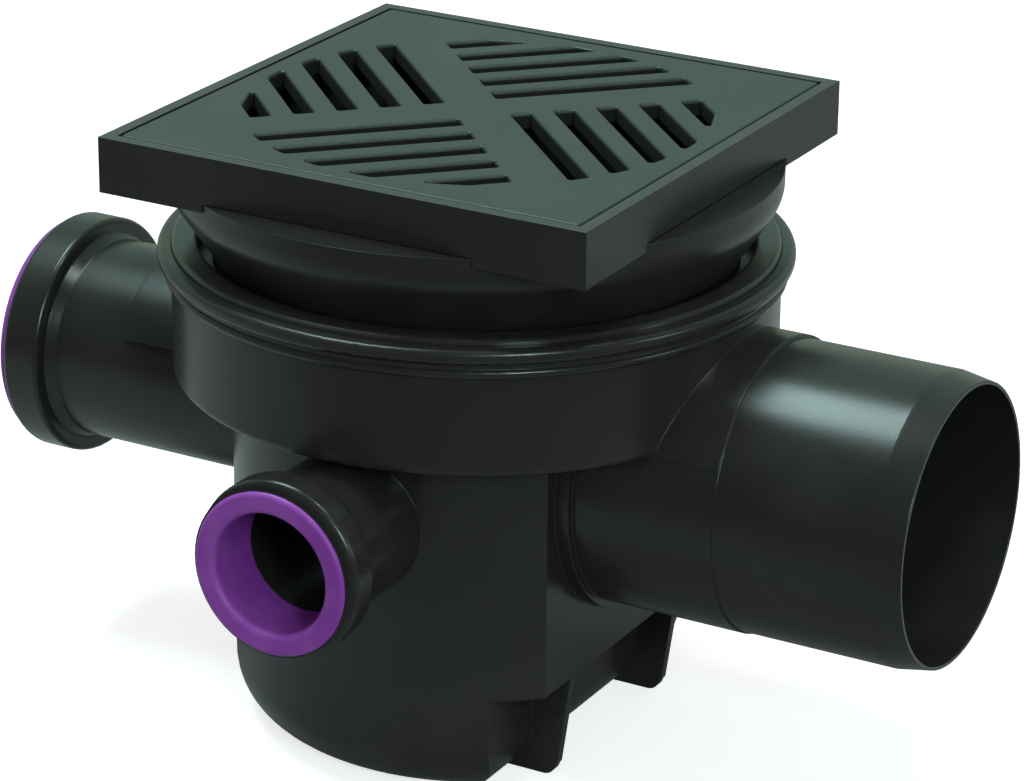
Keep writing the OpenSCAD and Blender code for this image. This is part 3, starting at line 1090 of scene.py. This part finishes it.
@dataclass
class SleevedSeal:
    """A branch's seal with soft lips and a sleeve that reaches back into the bore.

    Attributes:
        node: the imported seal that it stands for.
        hole: radius of its hole.
        sleeve: outer radius of its sleeve.
        sleeve_end: how far the sleeve reaches behind the seal's body.
        groove: depth of the bead in the socket's groove.
        groove_at: where that bead starts and ends, from the back of the body.
        lip: rounding of its outer lip.
        flare: rounding of the edge of its hole.
        facets: how many facets it has round its axis.
        steps: how many facets a rounded edge has.
    """

    node: str = "branch_50_seal"
    hole: float = 22.8
    sleeve: float = 25.2
    sleeve_end: float = 9.0
    groove: float = 1.0
    groove_at: Point = (3.0, 6.8)
    lip: float = 1.7
    flare: float = 2.4
    facets: int = 160
    steps: int = 8

    def _arc(self, middle: Point, radius: float, start: float) -> list[Point]:
        """A quarter round in the section, from an angle in degrees."""
        turns = [math.radians(start + 90.0 * i / self.steps) for i in range(self.steps + 1)]
        return [(middle[0] + radius * math.sin(t), middle[1] + radius * math.cos(t)) for t in turns]

    def build(self, material: bpy.types.Material) -> None:
        """Turns the section, whose points are (out, radius), round the axis towards -Y.

        Args:
            material: the rubber.
        """
        low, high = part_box(self.node)
        face, back = -low[1] / MM, -high[1] / MM
        bead = (high[0] - low[0]) / 2 / MM
        outer, height = bead - self.groove, (low[2] + high[2]) / 2 / MM
        section = [
            (back - self.sleeve_end, self.hole),
            (back - self.sleeve_end, self.sleeve),
            (back, self.sleeve),
            (back, outer),
            (back + self.groove_at[0], outer),
            (back + self.groove_at[0], bead),
            (back + self.groove_at[1], bead),
            (back + self.groove_at[1], outer),
            *self._arc((face - self.lip, outer - self.lip), self.lip, 0.0),
            *self._arc((face - self.flare, self.hole + self.flare), self.flare, 90.0),
        ]
        self._turn(section, height, material)

    def _turn(self, section: list[Point], height: float, material: bpy.types.Material) -> None:
        """Closes the section round the axis and makes the piece of it.

        Args:
            section: the section's points, as (out, radius).
            height: height of the axis.
            material: the rubber.
        """
        shell = bmesh.new()
        rings = []
        for i in range(self.facets):
            turn = 2.0 * math.pi * i / self.facets
            c, s = math.cos(turn), math.sin(turn)
            places = [(r * c * MM, -out * MM, (height + r * s) * MM) for out, r in section]
            rings.append([shell.verts.new(place) for place in places])
        for ring, following in zip(rings, rings[1:] + rings[:1]):
            for j in range(len(section)):
                k = (j + 1) % len(section)
                shell.faces.new((ring[j], ring[k], following[k], following[j]))
        bmesh.ops.recalc_face_normals(shell, faces=shell.faces)
        mesh = bpy.data.meshes.new(f"{self.node}_sleeved")
        shell.to_mesh(mesh)
        shell.free()
        mesh.materials.append(material)
        piece = bpy.data.objects.new(mesh.name, mesh)
        bpy.context.collection.objects.link(piece)
        smooth_faces(piece)
        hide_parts(self.node)
        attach(piece, "body")
        LOG.info("%s: %s", piece.name, material.name)


@dataclass
class Seals:
    """The coloured seals of the riser, the branches and the elbow.

    Attributes:
        rubber: what they are made of.
        shade_painted: the riser's seal in a darker, glossier copy of the rubber, whose dark colour
            is painted shade.
        sleeved: the smaller branch's seal.
    """

    rubber: SealRubber = field(default_factory=lambda: SealRubber("seal rubber"))
    # The riser's seal is the same rubber, made darker as painted shade because it lies in shade; it
    # is also glossier.
    shade_painted: SealRubber = field(
        default_factory=lambda: SealRubber(
            "greased seal rubber",
            colour=(0.034, 0.010, 0.046),
            bloom=(0.042, 0.014, 0.056),
            roughness=0.3,
        )
    )
    sleeved: SleevedSeal = field(default_factory=SleevedSeal)

    def build(self) -> None:
        """Dresses each seal, and builds the sleeved one."""
        material = self.rubber.build()
        for node in ("branch_75_seal", "elbow_seal"):
            dress(node, material)
        # the riser's seal gets the darker copy of the rubber, which is painted shade
        dress("riser_seal", self.shade_painted.build())
        self.sleeved.build(material)


# ---------------------------------------------------------------- studio


@dataclass(frozen=True)
class Softbox:
    """One area lamp, placed by its direction from the object.

    Attributes:
        name: the lamp's name.
        azimuth: its direction round +Z from +X, in degrees.
        elevation: its height above the horizon, in degrees.
        distance: how far it is, in metres.
        width: its width, in metres.
        height: its height, in metres.
        power: its power, in watts.
        colour: its tint.
    """

    name: str
    azimuth: float
    elevation: float
    distance: float
    width: float
    height: float
    power: float
    colour: Colour = (0.70, 1.0, 0.97)

    def build(self, aim: Vector) -> None:
        """Hangs the lamp so that it faces the object.

        Args:
            aim: the point that it faces.
        """
        lamp = bpy.data.lights.new(self.name, "AREA")
        lamp.shape = "RECTANGLE"
        lamp.size, lamp.size_y, lamp.energy = self.width, self.height, self.power
        lamp.color = self.colour
        obj = bpy.data.objects.new(self.name, lamp)
        a, e = math.radians(self.azimuth), math.radians(self.elevation)
        away = Vector((math.cos(e) * math.cos(a), math.cos(e) * math.sin(a), math.sin(e)))
        obj.location = aim + away * self.distance
        obj.rotation_euler = away.to_track_quat("Z", "Y").to_euler()
        bpy.context.collection.objects.link(obj)


@dataclass
class Studio:
    """Pale floor, world light, softboxes and the camera.

    Attributes:
        azimuth: the camera's direction round +Z from -Y, in degrees.
        elevation: its height above the horizon, in degrees.
        roll: how far it leans to the right, in degrees.
        distance_mm: its distance.
        lens_mm: its focal length.
        target_mm: the point that the distance is taken from.
        shift_mm: how far the middle of the view lies right of and above that point.
        floor_size: side of the floor.
        floor_seen: the floor's colour to the camera.
        floor_glow: light that the floor sends to the camera only.
        floor_lit: its colour to the part, below it and at the front.
        floor_span: how far ahead of the part that colour changes.
        fill: strength of the world's even light.
        room_glow: strength of the room in reflections, where it is bright and where it is dark.
        room_span: from where to where the room gets dark, from the back to the front.
        room_tint: the room's tint in reflections, at the horizon and above.
        room_rise: between which heights the tint changes.
        softboxes: the lamps.
    """

    azimuth: float = 29.32
    elevation: float = 21.78
    roll: float = 0.57
    distance_mm: float = 1494.33
    lens_mm: float = 141.04
    target_mm: Triple = (0.0, 0.0, 195.12)
    shift_mm: Point = (13.05, -62.30)
    floor_size: float = 14.0
    floor_seen: Colour = (0.55, 0.55, 0.55)
    floor_glow: float = 0.72
    floor_lit: tuple[Colour, Colour] = ((0.42, 0.43, 0.42), (0.12, 0.125, 0.12))
    floor_span: Point = (-0.1, 0.5)
    fill: float = 0.50
    room_glow: Point = (0.57, 0.10)
    room_span: Point = (-0.8, 0.5)
    room_tint: tuple[Colour, Colour] = ((0.80, 1.0, 0.74), (0.62, 1.0, 0.84))
    room_rise: Point = (0.05, 0.35)
    softboxes: tuple[Softbox, ...] = (
        Softbox("overhead softbox", 178.0, 69.0, 1.7, 0.8, 0.62, 22.0),
        Softbox("front window", -44.0, 24.0, 2.2, 0.35, 0.45, 18.0),
        Softbox("glint lamp", -15.0, 68.0, 1.7, 0.2, 0.2, 6.0, (0.86, 1.0, 0.99)),
        Softbox("side softbox", 6.0, 16.0, 2.4, 0.35, 0.5, 6.0, (0.85, 1.0, 0.88)),
    )

    def front(self) -> Triple:
        """The level direction from the object to the front of the studio."""
        a = math.radians(self.azimuth)
        return (math.sin(a), -math.cos(a), 0.0)

    def camera(self) -> None:
        """Places the camera."""
        a, e, r = (math.radians(v) for v in (self.azimuth, self.elevation, self.roll))
        back = Vector((math.sin(a) * math.cos(e), -math.cos(a) * math.cos(e), math.sin(e)))
        level = Vector((math.cos(a), math.sin(a), 0.0))
        upright = back.cross(level)
        right = level * math.cos(r) + upright * math.sin(r)
        up = upright * math.cos(r) - level * math.sin(r)
        aim = Vector(self.target_mm) * MM + (right * self.shift_mm[0] + up * self.shift_mm[1]) * MM
        data = bpy.data.cameras.new("camera")
        data.lens, data.sensor_width = self.lens_mm, 36.0
        data.clip_start, data.clip_end = 0.05, 60.0
        obj = bpy.data.objects.new("camera", data)
        turn = Matrix((right, up, back)).transposed()
        obj.matrix_world = Matrix.Translation(aim + back * self.distance_mm * MM) @ turn.to_4x4()
        bpy.context.collection.objects.link(obj)
        bpy.context.scene.camera = obj

    def floor(self) -> None:
        """Lays the pale floor that the trap stands on."""
        mesh = bpy.data.meshes.new("floor")
        grid = bmesh.new()
        bmesh.ops.create_grid(grid, x_segments=1, y_segments=1, size=self.floor_size / 2)
        grid.to_mesh(mesh)
        grid.free()
        obj = bpy.data.objects.new("floor", mesh)
        bpy.context.collection.objects.link(obj)
        material = bpy.data.materials.new("pale floor")
        material.use_nodes = True
        graph = Graph(material.node_tree)
        nodes = material.node_tree.nodes
        nodes.remove(nodes["Principled BSDF"])
        place = graph.node("ShaderNodeTexCoord").outputs["Object"]
        ahead = Expr(graph, graph.vector_math("DOT_PRODUCT", "Value", place, self.front()))
        tone = graph.mix_colour(ahead.ramp(*self.floor_span), *self.floor_lit)
        dim, pale = (
            graph.node("ShaderNodeBsdfDiffuse", {}, {"Color": colour}).outputs[0]
            for colour in (tone, self.floor_seen)
        )
        light = {"Color": WHITE, "Strength": self.floor_glow}
        glow = graph.node("ShaderNodeEmission", {}, light).outputs[0]
        seen = graph.node("ShaderNodeAddShader", {}, {0: pale, 1: glow}).outputs[0]
        by_ray = {0: graph.ray("Camera"), 1: dim, 2: seen}
        both = graph.node("ShaderNodeMixShader", {}, by_ray)
        graph.feed(nodes["Material Output"].inputs["Surface"], both.outputs[0])
        mesh.materials.append(material)
        obj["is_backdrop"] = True

    def world(self) -> None:
        """Sets the world: white to the camera, and a pale room that darkens behind the camera."""
        world = bpy.data.worlds.new("studio")
        bpy.context.scene.world = world
        world.use_nodes = True
        graph = Graph(world.node_tree)
        nodes = world.node_tree.nodes
        direction = graph.node("ShaderNodeTexCoord").outputs["Generated"]
        towards = Expr(graph, graph.vector_math("DOT_PRODUCT", "Value", direction, self.front()))
        bright, dark = self.room_glow
        room = (1.0 - towards.ramp(*self.room_span)) * (bright - dark) + dark
        raised = graph.parts(direction)[2].ramp(*self.room_rise)
        tint = graph.mix_colour(raised, *self.room_tint)
        glossy, fill, white = (
            graph.node("ShaderNodeBackground", {}, {"Color": colour, "Strength": level}).outputs[0]
            for colour, level in ((tint, room), (WHITE, self.fill), (WHITE, 1.0))
        )
        lit = graph.node("ShaderNodeMixShader", {}, {0: graph.ray("Glossy"), 1: fill, 2: glossy})
        by_ray = {0: graph.ray("Camera"), 1: lit.outputs[0], 2: white}
        seen = graph.node("ShaderNodeMixShader", {}, by_ray)
        graph.feed(nodes["World Output"].inputs["Surface"], seen.outputs[0])

    def build(self) -> None:
        """Sets up the whole studio."""
        self.camera()
        self.floor()
        self.world()
        low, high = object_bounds()
        aim = (low + high) / 2
        for softbox in self.softboxes:
            softbox.build(aim)
        bpy.context.scene.view_settings.view_transform = "Standard"


def main() -> None:
    """Builds the scene in order."""
    logging.basicConfig(level=logging.INFO, format="%(message)s")
    packed()
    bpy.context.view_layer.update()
    Studio().build()
    Mouldings().dress()
    Seals().build()
    Grate().build()


if __name__ == "__main__":
    main()
